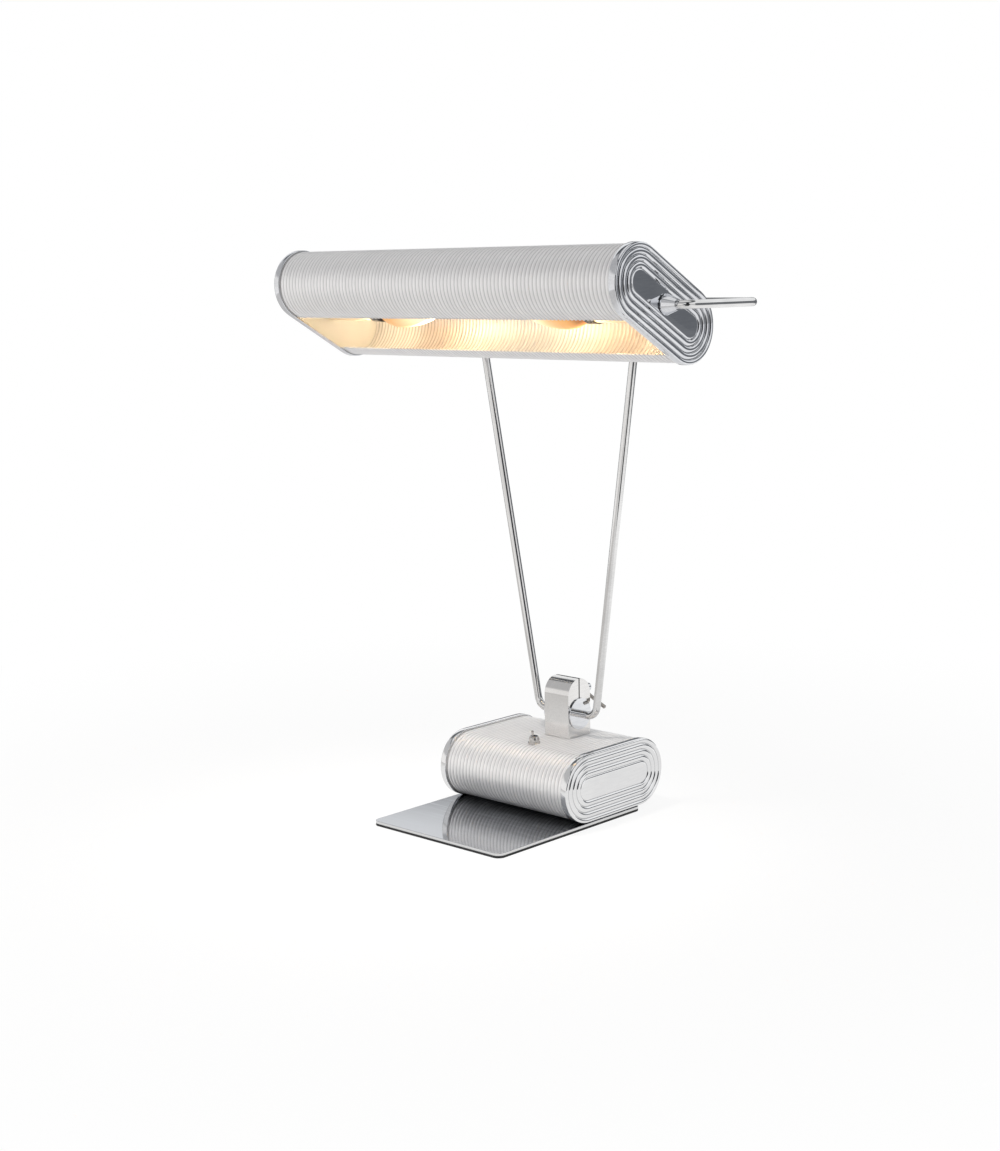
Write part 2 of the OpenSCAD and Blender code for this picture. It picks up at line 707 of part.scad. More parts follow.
module bulb_glass() {
  outer = bulb_line(bulb_d / 2);
  inner = bulb_line(bulb_d / 2 - glass);
  last = len(inner) - 1;
  rotate_extrude() polygon(concat(
    [[bulb_cap_r - 1.3, bulb_cap_mouth + 6], [bulb_cap_r - 0.5, bulb_cap_mouth + 6],
     [bulb_cap_r - 0.5, bulb_cap_mouth - 0.4], [8.4, ring_mouth + 2]],
    [for (p = outer) [p[0], ring_mouth - p[1]]],
    [[0, ring_mouth - bulb_length], [0, ring_mouth - bulb_length + glass]],
    [for (i = [last : -1 : 0]) [inner[i][0], ring_mouth - inner[i][1] + (i == last ? glass / 2 : 0)]],
    [[7.4, ring_mouth + 2.2], [bulb_cap_r - 1.3, bulb_cap_mouth - 0.2]]));
}

module bulb_glass_left() {
  color("#fff1d6") at_side(-1) bulb_glass();
}

module bulb_glass_right() {
  color("#fff1d6") at_side(1) bulb_glass();
}

// ---- Shade ----

module shade_shell() {
  points = rib_section(shade_length - 2 * cap_face);
  color("#c4c6c9") at_shade() along_x() {
    round_side(points, 1);
    round_side(points, -1);
    flat_side(points, -1, -shell_flat / 2, shell_flat / 2);
    flat_side(points, 1, -shell_flat / 2, -slot_front);
    flat_side(points, 1, slot_rear, shell_flat / 2);
  }
}

module shade_cap() {
  difference() {
    end_cap(shade_half);
    translate([shade_half - 10, 0, 0]) along_x() cylinder(r = nipple_r + run_fit, h = 20);
  }
}

module shade_cap_left() {
  color("#dfe1e4") at_shade() mirror([1, 0, 0]) shade_cap();
}

module shade_cap_right() {
  color("#dfe1e4") at_shade() shade_cap();
}

module pivot_washer_left() {
  color("#2a2a2c") at_side(-1) bush(6.8, nipple_r + run_fit, hub_face, hub_face + pivot_washer_thick);
}

module pivot_washer_right() {
  color("#2a2a2c") at_side(1) bush(6.8, nipple_r + run_fit, hub_face, hub_face + pivot_washer_thick);
}

// ---- Drawing ----

plate_pad();
base_plate();
plate_screws();
plate_spacers();
base_shell();
base_cap_left();
base_cap_right();
base_ballast();
terminal_block();
terminal_screws();
cord_gland();
gland_nut();
top_stiffener();
knuckle_screws();
knuckle_block();
switch_body();
switch_washers();
switch_nut();
switch_lever();
clamp_screw();
clamp_bar();
knuckle_barrel();
knuckle_discs();
frame_tube_left();
frame_tube_right();
hub_cone_left();
hub_cone_right();
pivot_nipple_left();
pivot_nipple_right();
wave_washer_left();
wave_washer_right();
nipple_nut_left();
nipple_nut_right();
lampholder_left();
lampholder_right();
holder_insert_left();
holder_insert_right();
holder_ring_left();
holder_ring_right();
bulb_cap_left();
bulb_cap_right();
bulb_glass_left();
bulb_glass_right();
shade_shell();
shade_cap_left();
shade_cap_right();
pivot_washer_left();
pivot_washer_right();
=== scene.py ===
# %% [markdown]
# A ribbed desk lamp
# ------------------
# The lamp has a ribbed base on a polished plate, a tube frame and a long ribbed shade. Its frame
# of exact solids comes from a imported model, one object for each piece. This lesson gives those
# pieces their finishes, and rebuilds the ones that live by their fine shape: the corrugated sheet
# of the two shells, the beaded end caps, and the plate with its pad. Everything is in metres, X
# along the shade, Z up.

# %% Load the fixed frame
import math

import bmesh
import bpy
from mathutils import Matrix, Vector


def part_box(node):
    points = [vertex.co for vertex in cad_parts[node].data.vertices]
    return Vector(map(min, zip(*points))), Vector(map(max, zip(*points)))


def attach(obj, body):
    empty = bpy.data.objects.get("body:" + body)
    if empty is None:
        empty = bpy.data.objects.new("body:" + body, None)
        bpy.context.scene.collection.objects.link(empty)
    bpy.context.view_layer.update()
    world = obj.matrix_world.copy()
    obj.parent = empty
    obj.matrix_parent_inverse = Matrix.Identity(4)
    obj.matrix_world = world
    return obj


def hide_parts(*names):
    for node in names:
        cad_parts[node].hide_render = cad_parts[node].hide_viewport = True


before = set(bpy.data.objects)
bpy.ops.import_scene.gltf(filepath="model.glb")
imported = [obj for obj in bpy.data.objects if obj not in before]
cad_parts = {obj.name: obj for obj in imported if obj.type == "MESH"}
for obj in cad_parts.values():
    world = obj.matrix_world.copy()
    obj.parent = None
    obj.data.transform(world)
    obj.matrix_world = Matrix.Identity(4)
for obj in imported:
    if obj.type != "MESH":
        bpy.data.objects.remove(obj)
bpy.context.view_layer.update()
MM = 0.001

# %% [markdown]
# The sizes that follow are the lamp's own. The shells of the shade and of the base are bent from
# the same corrugated sheet, and their end caps come from the same tool, so both share one section:
# a stadium, which is two half circles joined by straight sides. Measuring the frame's solids for
# the places keeps every new piece exactly where the real one sits.

# %% Sizes of the shared section
SHELL_R = 25.4 * MM        # radius of the round sides, at the rib crests
HALF_FLAT = 31 * MM        # half the width of the straight sides
RIB_DEPTH = 0.7 * MM
RIB_PITCH = 3.5 * MM
SHEET = 0.6 * MM           # thickness of the corrugated sheet
BASE_HALF = 66 * MM        # half the length over the caps
SHADE_HALF = 170 * MM
SHADE_TILT = math.radians(-29.5)
SLOT_FRONT = 24.5 * MM     # from the middle of the lower side to the slot's front lip
SLOT_REAR = 25.5 * MM      # and to its rear lip
CAP_FACE = 3 * MM          # the caps' thickness, where the sheet ends


def middle(node):
    low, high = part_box(node)
    return (low + high) / 2


base_centre = Vector((0, middle("base_cap_right").y, middle("base_cap_right").z))
shade_centre = Vector((0, middle("hub_cone_right").y, middle("hub_cone_right").z))
AT_BASE = Matrix.Translation(base_centre)
AT_SHADE = Matrix.Translation(shade_centre) @ Matrix.Rotation(SHADE_TILT, 4, "X")
print("base centre mm", [round(v / MM, 2) for v in base_centre],
      "shade centre mm", [round(v / MM, 2) for v in shade_centre])

# %% [markdown]
# The camera stands in front of the lamp, to its right, a little above the shade. Its direction is
# three angles: turn about the vertical, tilt down, and a small roll. Building the matrix from
# those angles keeps the numbers readable, and nothing has to be aimed at a target.

# %% Camera
CAMERA_AT = Vector((0.95128, -1.01935, 0.41766))
TURN, TILT, ROLL = (math.radians(a) for a in (43.159, -9.317, -0.941))
LENS = 58.57               # mm, for a sensor 36 mm wide
ahead = Vector((-math.sin(TURN) * math.cos(TILT), math.cos(TURN) * math.cos(TILT), math.sin(TILT)))
level = Vector((math.cos(TURN), math.sin(TURN), 0))
upward = level.cross(ahead)
right = math.cos(ROLL) * level + math.sin(ROLL) * upward
top = -math.sin(ROLL) * level + math.cos(ROLL) * upward
camera_data = bpy.data.cameras.new("Camera")
camera_data.sensor_width = 36
camera_data.lens = LENS
camera_data.clip_start = 0.05
camera_data.clip_end = 50
camera = bpy.data.objects.new("Camera", camera_data)
camera.matrix_world = Matrix((
    (right.x, top.x, -ahead.x, CAMERA_AT.x), (right.y, top.y, -ahead.y, CAMERA_AT.y),
    (right.z, top.z, -ahead.z, CAMERA_AT.z), (0, 0, 0, 1)))
bpy.context.scene.collection.objects.link(camera)
bpy.context.scene.camera = camera
print("camera lens mm", LENS)

# %% [markdown]
# Both kinds of node tree, for materials and for geometry, share the same Math nodes. One small
# class wraps a socket, so that sums are written as Python: 1 - mask * 0.5 adds two Math nodes.
# Plain numbers are worked out in Python and only reach the tree as a socket's value.

# %% A socket that can be added and multiplied
class Value:
    def __init__(self, tree, socket):
        self.tree, self.socket = tree, socket

    def node(self, kind, settings=None, inputs=None, output=0):
        """Adds a node: settings first, then a value or a link for each named or numbered input."""
        made = self.tree.nodes.new(kind)
        for name, setting in (settings or {}).items():
            setattr(made, name, setting)
        for key, value in (inputs or {}).items():
            if isinstance(value, Value):
                self.tree.links.new(value.socket, made.inputs[key])
            else:
                made.inputs[key].default_value = value
        return Value(self.tree, made.outputs[output])

    def math(self, operation, *given):
        return self.node("ShaderNodeMath", {"operation": operation}, dict(enumerate(given)))

    def __add__(self, other):
        return self.math("ADD", self, other)

    def __radd__(self, other):
        return self.math("ADD", other, self)

    def __sub__(self, other):
        return self.math("SUBTRACT", self, other)

    def __rsub__(self, other):
        return self.math("SUBTRACT", other, self)

    def __mul__(self, other):
        return self.math("MULTIPLY", self, other)

    def __rmul__(self, other):
        return self.math("MULTIPLY", other, self)

    def __truediv__(self, other):
        return self.math("DIVIDE", self, other)

    def __rtruediv__(self, other):
        return self.math("DIVIDE", other, self)

    def __pow__(self, other):
        return self.math("POWER", self, other)

    def sin(self):
        return self.math("SINE", self)

    def cos(self):
        return self.math("COSINE", self)

    def abs(self):
        return self.math("ABSOLUTE", self)

    def sign(self):
        return self.math("SIGN", self)

    def least(self, other):
        return self.math("MINIMUM", self, other)

    def most(self, other):
        return self.math("MAXIMUM", self, other)

    def ramp(self, low, high, to_low=0.0, to_high=1.0):
        """Goes softly from to_low to to_high while the value goes from low to high."""
        return self.node("ShaderNodeMapRange",
                         {"interpolation_type": "SMOOTHSTEP", "clamp": True},
                         {0: self, 1: low, 2: high, 3: to_low, 4: to_high})

    def mix(self, first, second):
        """Mixes two colours by this value."""
        made = self.tree.nodes.new("ShaderNodeMix")
        made.data_type = "RGBA"
        self.tree.links.new(self.socket, made.inputs[0])
        for place, colour in ((6, first), (7, second)):
            if isinstance(colour, Value):
                self.tree.links.new(colour.socket, made.inputs[place])
            else:
                made.inputs[place].default_value = (*colour, 1)
        return Value(self.tree, made.outputs[2])


def new_material(name):
    """A material with an empty Principled shader, and the wrapped socket of Object coordinates."""
    made = bpy.data.materials.new(name)
    made.use_nodes = True
    tree = made.node_tree
    shader = tree.nodes["Principled BSDF"]
    place = tree.nodes.new("ShaderNodeTexCoord")
    return made, tree, shader, Value(tree, place.outputs["Object"])


def feed(shader, **inputs):
    """Sets or links the shader's sockets by their names, with _ for a space."""
    for name, value in inputs.items():
        socket = shader.inputs[name.replace("_", " ")]
        if isinstance(value, Value):
            value.tree.links.new(value.socket, socket)
        elif isinstance(value, tuple) and len(value) == 3:
            socket.default_value = (*value, 1)
        else:
            socket.default_value = value


def axes(place):
    """The X, Y and Z of a wrapped vector."""
    made = place.tree.nodes.new("ShaderNodeSeparateXYZ")
    place.tree.links.new(place.socket, made.inputs[0])
    return [Value(place.tree, s) for s in made.outputs]


def noise(place, scale, detail=3.0, rough=0.55, stretch=(1, 1, 1)):
    """A cloud of values about 0.5; stretch squeezes it along the axes, as brushing does."""
    mapped = place.node("ShaderNodeMapping", None, {"Vector": place, "Scale": stretch})
    return place.node("ShaderNodeTexNoise", None,
                      {"Vector": mapped, "Scale": scale, "Detail": detail, "Roughness": rough})


def bump(height, strength, distance):
    return height.node("ShaderNodeBump", None,
                       {"Strength": strength, "Distance": distance, "Height": height})


print("helpers ready")

# %% [markdown]
# Polished chrome is nearly a mirror. What keeps it from looking like a render is small: hairline
# polishing marks that spread its highlights a little, and faint smears that change its roughness.
# The caps' chrome further on also darkens its grooves, which is painted shade.

# %% Bright metals
def chrome(name, colour, dark, rough=0.02, smear=0.05):
    made, tree, shader, place = new_material(name)
    cloud = noise(place, 28.0, 4.0)
    hair = noise(place, 900.0, 2.0, 0.6, (1, 0.08, 1))
    tint = (cloud * 0.6 + hair * 0.4).ramp(0.35, 0.7)
    feed(shader, Base_Color=tint.mix(dark, colour), Metallic=1.0,
         Roughness=rough + cloud * smear + hair * 0.015,
         Normal=bump(hair, 0.05, 0.0001))
    return made


CHROME = chrome("bright_chrome", (0.86, 0.87, 0.89), (0.74, 0.75, 0.78))
TUBE = chrome("tube_chrome", (0.86, 0.855, 0.85), (0.72, 0.715, 0.71), 0.03, 0.06)
print("made", CHROME.name, TUBE.name)

# %% [markdown]
# The sheet of the shells is aluminium with a satin finish. Its ribs are real geometry, so the
# material adds the faint lines of the rolling, along the ribs, a little unevenness from one rib to
# the next, and painted shade that darkens the valleys between the ribs.

# %% Satin sheet
def satin_sheet(name, colour, dark, rough, metallic=0.5):
    made, tree, shader, place = new_material(name)
    x, y, z = axes(place)
    rolled = noise(place, 260.0, 3.0, 0.6, (1, 0.12, 0.12))
    cloud = noise(place, 9.0, 3.0)
    each_rib = place.node("ShaderNodeTexNoise", {"noise_dimensions": "1D"},
                          {"W": x * (0.7 / RIB_PITCH), "Scale": 1.0, "Detail": 1.0})
    valley = place.node("ShaderNodeAttribute", {"attribute_name": "crest"}, None, 2)
    shade = (cloud * 0.35 + rolled * 0.25 + each_rib * 0.4).ramp(0.3, 0.7)
    body = shade.mix(dark, colour)
    # painted shade: the rib valleys get a darker copy of the sheet's colour; a mesh without the
    # crest attribute, such as a cap's inside, gets that darker colour all over
    valley_shade = valley.ramp(0.0, 0.55)
    feed(shader, Base_Color=valley_shade.mix(tuple(c * 0.7 for c in dark), body), Metallic=metallic,
         Roughness=rough + rolled * 0.1 + cloud * 0.06, Normal=bump(rolled, 0.12, 0.0002))
    return made


# painted light: both shells are one sheet, but the base's copy is lighter than the shade's, for
# the light that falls on the base below the lit shade
SHADE_SHEET = satin_sheet("shade_sheet", (0.88, 0.87, 0.87), (0.8, 0.79, 0.79), 0.36, 0.55)
BASE_SHEET = satin_sheet("base_sheet", (0.94, 0.935, 0.935), (0.87, 0.865, 0.865), 0.25, 0.58)
print("made", SHADE_SHEET.name, BASE_SHEET.name)

# %% [markdown]
# The corrugated shell follows a rule: go round the stadium, and let the radius rise and fall with
# the distance along the lamp. Geometry Nodes can say that rule directly. A grid gives two numbers
# to each point, one along the shell and one round it, and a few sums place the point. The same
# tree makes the closed shell of the base and the shade's shell, which is open along its slot.

# %% The node tree of a corrugated shell
def shell_tree(name):
    tree = bpy.data.node_groups.new(name, "GeometryNodeTree")
    sockets = {}
    for label, kind, low in (
            ("Length", "NodeSocketFloat", 0.33), ("Half flat", "NodeSocketFloat", 0.031),
            ("Radius", "NodeSocketFloat", 0.0254), ("Rib depth", "NodeSocketFloat", 0.0007),
            ("Ribs", "NodeSocketInt", 95), ("Start", "NodeSocketFloat", -0.1),
            ("End", "NodeSocketFloat", 0.1), ("Steps a rib", "NodeSocketInt", 6),
            ("Steps round", "NodeSocketInt", 64), ("Material", "NodeSocketMaterial", None)):
        made = tree.interface.new_socket(label, in_out="INPUT", socket_type=kind)
        if low is not None:
            made.default_value = low
        sockets[label] = made.identifier
    tree.interface.new_socket("Geometry", in_out="OUTPUT", socket_type="NodeSocketGeometry")
    source = tree.nodes.new("NodeGroupInput")
    out = tree.nodes.new("NodeGroupOutput")
    given = {s.name: Value(tree, s) for s in source.outputs if s.name}
    tool = given["Length"]      # any wrapped socket can add nodes

    grid = tree.nodes.new("GeometryNodeMeshGrid")
    grid.inputs["Size X"].default_value = 1
    grid.inputs["Size Y"].default_value = 1
    tree.links.new((given["Ribs"] * given["Steps a rib"] + 1).socket, grid.inputs["Vertices X"])
    tree.links.new(given["Steps round"].socket, grid.inputs["Vertices Y"])
    along, around, _ = axes(tool.node("GeometryNodeInputPosition"))

    # how far round the section, from the middle of the top
    s = given["Start"] + (around + 0.5) * (given["End"] - given["Start"])
    wave = ((along + 0.5) * given["Ribs"] * (2 * math.pi)).cos() * 0.5 + 0.5
    crest = 1 - wave ** 1.6
    radius = given["Radius"] - given["Rib depth"] * (1 - crest)
    side = s.sign()
    run = s.abs()
    angle = ((run - given["Half flat"]) / given["Radius"]).most(0.0).least(math.pi)
    under = (run - given["Half flat"] - given["Radius"] * math.pi).most(0.0)
    y = side * (run.least(given["Half flat"]) + radius * angle.sin() - under)
    z = radius * angle.cos()
    x = along * given["Length"]

    store = tool.node("GeometryNodeStoreNamedAttribute",
                      {"data_type": "FLOAT", "domain": "POINT"},
                      {"Geometry": Value(tree, grid.outputs["Mesh"]), "Name": "crest"})
    tree.links.new(crest.socket, store.socket.node.inputs["Value"])
    point = tool.node("ShaderNodeCombineXYZ", None, {0: x, 1: y, 2: z})
    placed = tool.node("GeometryNodeSetPosition", None, {"Geometry": store, "Position": point})
    merged = tool.node("GeometryNodeMergeByDistance", None, {"Geometry": placed, "Distance": 1e-5})
    smooth = tool.node("GeometryNodeSetShadeSmooth", None, {"Geometry": merged})
    real = tool.node("GeometryNodeRealizeInstances", None, {"Geometry": smooth})
    finish = tool.node("GeometryNodeSetMaterial", None,
                       {"Geometry": real, "Material": given["Material"]})
    tree.links.new(finish.socket, out.inputs["Geometry"])
    return tree, sockets


SHELL_TREE, SHELL_SOCKET = shell_tree("corrugated_shell")
print("shell tree nodes", len(SHELL_TREE.nodes))

# %% [markdown]
# A modifier's inputs are set by each socket's identifier. Solidify then gives the sheet its
# thickness, and the result is copied out as a plain mesh and moved to its place. A plain mesh is
# what other programs can read, and it stays as it is when the tree changes.

# %% From node tree to finished piece
def plain_object(name, mesh, place=None):
    if place is not None:
        mesh.transform(place)
    made = bpy.data.objects.new(name, mesh)
    bpy.context.scene.collection.objects.link(made)
    return made


def from_nodes(name, tree, identifiers, values, place, thickness):
    """Runs a tree on an empty mesh, thickens it and returns a plain object with the result."""
    host = plain_object("host", bpy.data.meshes.new("host"))
    modifier = host.modifiers.new("rule", "NODES")
    modifier.node_group = tree
    for label, value in values.items():
        modifier[identifiers[label]] = value
    wall = host.modifiers.new("wall", "SOLIDIFY")
    wall.thickness = thickness
    wall.offset = -1
    wall.use_even_offset = False
    shown = host.evaluated_get(bpy.context.evaluated_depsgraph_get())
    mesh = bpy.data.meshes.new_from_object(shown)
    bpy.data.objects.remove(host)
    mesh.name = name
    return plain_object(name, mesh, place)


def report(piece):
    low = [min(v.co[i] for v in piece.data.vertices) / MM for i in range(3)]
    high = [max(v.co[i] for v in piece.data.vertices) / MM for i in range(3)]
    print(piece.name, "faces", len(piece.data.polygons),
          "low", [round(v, 1) for v in low], "high", [round(v, 1) for v in high])


print("mesh helpers ready")

# %% [markdown]
# Both shells are one call of the same tree. The sheet's run round the section is measured from the
# middle of the top: the base goes all the way round, and the shade stops on both sides of the slot
# that lets its light out.

# %% The two shells
def shell(name, half, start, end, place, material, steps_rib, steps_round):
    length = 2 * (half - CAP_FACE)
    return from_nodes(name, SHELL_TREE, SHELL_SOCKET, {
        "Length": length, "Half flat": HALF_FLAT, "Radius": SHELL_R, "Rib depth": RIB_DEPTH,
        "Ribs": round(length / RIB_PITCH), "Start": start, "End": end,
        "Steps a rib": steps_rib, "Steps round": steps_round, "Material": material},
        place, SHEET)


LOWER = HALF_FLAT + math.pi * SHELL_R      # from the top's middle to where the lower side starts
base_skin = shell("base_skin", BASE_HALF, -(LOWER + HALF_FLAT), LOWER + HALF_FLAT,
                  AT_BASE, BASE_SHEET, 8, 97)
shade_skin = shell("shade_skin", SHADE_HALF, -(LOWER + HALF_FLAT - SLOT_FRONT),
                   LOWER + HALF_FLAT - SLOT_REAR, AT_SHADE, SHADE_SHEET, 6, 65)
for skin, body, node, slot in ((base_skin, "base", "base_shell", "base_ribs"),
                               (shade_skin, "shade", "shade_shell", "shade_ribs")):
    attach(skin, body)
    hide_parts(node)
    report(skin)

# %% [markdown]
# An end cap is pressed from sheet and chromed. Concentric half-round beads follow the stadium from
# the rim to the flat centre. The cap is a short profile carried round the same path as the shell,
# so plain mesh code is enough: one ring of points for each step of the path. Each point also
# remembers how deep it lies in a groove, and the material paints shade there. The inside, which
# only the open shade shows, has a plain satin finish of its own.

# %% The profile of an end cap
CAP_RIM_R = 26.5 * MM
CAP_BAND = 3 * MM          # how far the cap's rim reaches over the sheet
CAP_FIT = 0.05 * MM
RIM_ROLL = 1.8 * MM        # depth in which the last bead rolls off to the rim
CENTRE_R = 9 * MM
CENTRE_DEPTH = 0.5 * MM
CENTRE_EDGE = 2 * MM       # width of the rounded edge of the flat centre
BEADS = 4
BEAD_DEPTH = 1.3 * MM
BEAD_PITCH = (CAP_RIM_R - CENTRE_R + 0.8 * MM) / BEADS
BEAD_ARC_R = (BEAD_PITCH ** 2 / 4 + BEAD_DEPTH ** 2) / (2 * BEAD_DEPTH)
BEAD_ARC = math.asin(BEAD_PITCH / 2 / BEAD_ARC_R)      # half the angle of one bead's arc
BEAD_STEPS = 10
INSIDE_FACES = 3           # the last faces of the profile lie inside the cap


def cap_profile():
    """[radius, depth below the crests, groove] from the centre to the band, and back inside."""
    points = [(0.0, CENTRE_DEPTH, 0.0)]
    for step in range(BEAD_STEPS // 2):
        turn = math.pi / 2 + math.pi * step / BEAD_STEPS
        fall = math.sin(turn)
        points.append((CENTRE_R - CENTRE_EDGE * (1 + math.cos(turn)),
                       BEAD_DEPTH - (BEAD_DEPTH - CENTRE_DEPTH) * fall, 1 - fall))
    for bead in range(BEADS):
        crest = CENTRE_R + (bead + 0.5) * BEAD_PITCH
        last = BEAD_STEPS if bead < BEADS - 1 else BEAD_STEPS // 2 + 1
        for step in range(last):
            turn = BEAD_ARC * (2 * step / BEAD_STEPS - 1)
            depth = BEAD_ARC_R * (1 - math.cos(turn))
            points.append((crest + BEAD_ARC_R * math.sin(turn), depth, depth / BEAD_DEPTH))
    for step in range(1, BEAD_STEPS // 2 + 1):
        turn = math.pi * step / BEAD_STEPS
        points.append((crest + (CAP_RIM_R - crest) * math.sin(turn),
                       RIM_ROLL * (1 - math.cos(turn)), 0.0))
    depth = CAP_FACE + CAP_BAND
    inner = SHELL_R + CAP_FIT
    # the groove values of the band's last points paint shade along its edge, where the cap meets
    # the sheet
    points += [(CAP_RIM_R, CAP_FACE, 0.0), (CAP_RIM_R, depth - 0.35 * MM, 0.0),
               (CAP_RIM_R - 0.12 * MM, depth - 0.1 * MM, 0.3),
               (CAP_RIM_R - 0.4 * MM, depth, 0.6), (inner, depth, 0.6),
               (inner, CAP_FACE, 0.0), (0.0, CAP_FACE, 0.0)]
    return points


def stadium_path(steps_round=28, steps_flat=6):
    """Unit directions and centres that a section follows round the stadium."""
    path = []
    for side in (1, -1):
        for step in range(steps_round + 1):
            turn = math.pi * step / steps_round
            path.append((side * HALF_FLAT, side * math.sin(turn), side * math.cos(turn)))
        for step in range(1, steps_flat):
            path.append((side * HALF_FLAT * (1 - 2 * step / steps_flat), 0.0, -side * 1.0))
    return path


def clean(piece):
    """Merges doubles, turns every face outwards and shades it smooth."""
    work = bmesh.new()
    work.from_mesh(piece.data)
    bmesh.ops.remove_doubles(work, verts=work.verts, dist=2e-6)
    bmesh.ops.dissolve_degenerate(work, dist=1e-7, edges=work.edges)
    bmesh.ops.recalc_face_normals(work, faces=work.faces)
    work.to_mesh(piece.data)
    work.free()
    for face in piece.data.polygons:
        face.use_smooth = True


def cap(name, side, half, place, material):
    """Carries the profile round the stadium and closes it into a cap."""
    profile, path = cap_profile(), stadium_path()
    verts, groove, faces = [], [], []
    for centre, across, up in path:
        for radius, depth, dark in profile:
            verts.append((side * (half - depth), centre + radius * across, radius * up))
            groove.append(dark)
    count, turns = len(profile), len(path)
    for i in range(turns):
        for j in range(count - 1):
            a, b = i * count + j, ((i + 1) % turns) * count + j
            faces.append((a, a + 1, b + 1, b))
    mesh = bpy.data.meshes.new(name)
    mesh.from_pydata(verts, [], faces)
    mesh.attributes.new("groove", "FLOAT", "POINT").data.foreach_set("value", groove)
    mesh.materials.append(material)
    mesh.materials.append(CAP_INSIDE)
    inside = [int(j >= count - INSIDE_FACES) for j in range(count - 1)]
    mesh.polygons.foreach_set("material_index", inside * turns)
    made = plain_object(name, mesh, place)
    clean(made)
    return made


print("cap profile points", len(cap_profile()), "path steps", len(stadium_path()))

# %% [markdown]
# The caps' chrome is that of the tubes with one addition: painted shade that darkens the grooves.
# The two pairs come from one tool, but the shade's caps are painted darker than the base's, as
# painted shade, since they hang in the dim upper room while the base's stand low by the white
# floor.

# %% The four end caps
def cap_metal(name, colour, dark, groove_shade_colour):
    """Chrome with painted shade that darkens it a little in the grooves."""
    made, tree, shader, place = new_material(name)
    depth = place.node("ShaderNodeAttribute", {"attribute_name": "groove"}, None, 2)
    cloud = noise(place, 30.0, 4.0)
    hair = noise(place, 700.0, 2.0, 0.6, (1, 0.1, 1))
    body = (cloud * 0.6 + hair * 0.4).ramp(0.35, 0.7).mix(dark, colour)
    feed(shader, Base_Color=depth.ramp(0.5, 0.95).mix(body, groove_shade_colour), Metallic=1.0,
         Roughness=0.02 + cloud * 0.04 + hair * 0.01, Normal=bump(hair, 0.03, 0.0001))
    return made


# painted shade: the shade's caps get a darker copy of the base caps' chrome, for the dim room they
# hang in
SHADE_CAP = cap_metal("shade_cap_chrome", (0.84, 0.85, 0.87), (0.72, 0.73, 0.76),
                      (0.4, 0.41, 0.43))
BASE_CAP = cap_metal("base_cap_chrome", (0.94, 0.94, 0.94), (0.88, 0.88, 0.885),
                     (0.6, 0.6, 0.61))
CAP_INSIDE = satin_sheet("cap_inside", (0.8, 0.79, 0.77), (0.72, 0.71, 0.69), 0.34, 0.1)
for name, side, half, place, metal, body, node in (
        ("base_end_left", -1, BASE_HALF, AT_BASE, BASE_CAP, "base", "base_cap_left"),
        ("base_end_right", 1, BASE_HALF, AT_BASE, BASE_CAP, "base", "base_cap_right"),
        ("shade_end_left", -1, SHADE_HALF, AT_SHADE, SHADE_CAP, "shade", "shade_cap_left"),
        ("shade_end_right", 1, SHADE_HALF, AT_SHADE, SHADE_CAP, "shade", "shade_cap_right")):
    made = cap(name, side, half, place, metal)
    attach(made, body)
    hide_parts(node)
    report(made)

# %% [markdown]
# The frame's own solids already have the right shape for the block, the tubes and the small turned
# parts, so they stay and get finishes. The plate is polished steel: a dark mirror that shows the
# ribs, with fine scratches from being wiped, and a painted reflection that darkens its top towards
# the base. The block is milled and then polished, a little less than the tubes. Pieces that nobody
# sees get what they are usually made of.

# %% Finishes of metal, rubber and plastic
PLATE_TOP = 3.8 * MM


def steel_mirror(name, front, rear):
    """Polished steel with a painted reflection that darkens its top from the front to the rear;
    its sides keep a brighter colour.
    """
    made, tree, shader, place = new_material(name)
    x, y, z = axes(place)
    cloud = noise(place, 16.0, 3.0)
    wipe = noise(place, 420.0, 2.0, 0.6, (0.06, 1, 1))
    # painted reflection: the top darkens from the front towards the base, whose dark underside the
    # mirror shows there
    tone = y.ramp(-0.085, 0.03).mix(front, rear)
    wipes_on_painted_reflection = (wipe * 0.5 + cloud * 0.5).ramp(0.42, 0.75).mix(tone, (0.62, 0.64, 0.67))
    body = z.ramp(PLATE_TOP - 0.4 * MM, PLATE_TOP - 0.1 * MM).mix((0.8, 0.8, 0.8), wipes_on_painted_reflection)
    feed(shader, Base_Color=body, Metallic=1.0, Roughness=0.03 + cloud * 0.04 + wipe * 0.02,
         Normal=bump(wipe, 0.03, 0.0001))
    return made


def satin_metal(name, colour, dark, rough):
    made, tree, shader, place = new_material(name)
    brush = noise(place, 520.0, 3.0, 0.6, (0.06, 1, 1))
    cloud = noise(place, 40.0, 3.0)
    feed(shader, Base_Color=(brush * 0.5 + cloud * 0.5).ramp(0.35, 0.7).mix(dark, colour),
         Metallic=1.0, Roughness=rough + brush * 0.14, Normal=bump(brush, 0.12, 0.0001))
    return made


def plastic(name, colour, dark, rough, grain=600.0, coat=0.0):
    made, tree, shader, place = new_material(name)
    fine = noise(place, grain, 2.0)
    cloud = noise(place, 30.0, 3.0)
    feed(shader, Base_Color=(fine * 0.4 + cloud * 0.6).ramp(0.35, 0.7).mix(dark, colour),
         Roughness=rough + fine * 0.12, Normal=bump(fine, 0.1, 0.0001), Coat_Weight=coat)
    return made


def brass(name):
    """Brass with a thread cut into it, one turn each millimetre."""
    made, tree, shader, place = new_material(name)
    x, y, z = axes(place)
    cloud = noise(place, 90.0, 4.0)
    thread = (x * (2 * math.pi / MM)).sin() * 0.5 + 0.5
    feed(shader, Base_Color=cloud.ramp(0.35, 0.7).mix((0.42, 0.3, 0.12), (0.72, 0.55, 0.26)),
         Metallic=1.0, Roughness=0.3 + cloud * 0.15, Normal=bump(thread, 0.35, 0.0003))
    return made


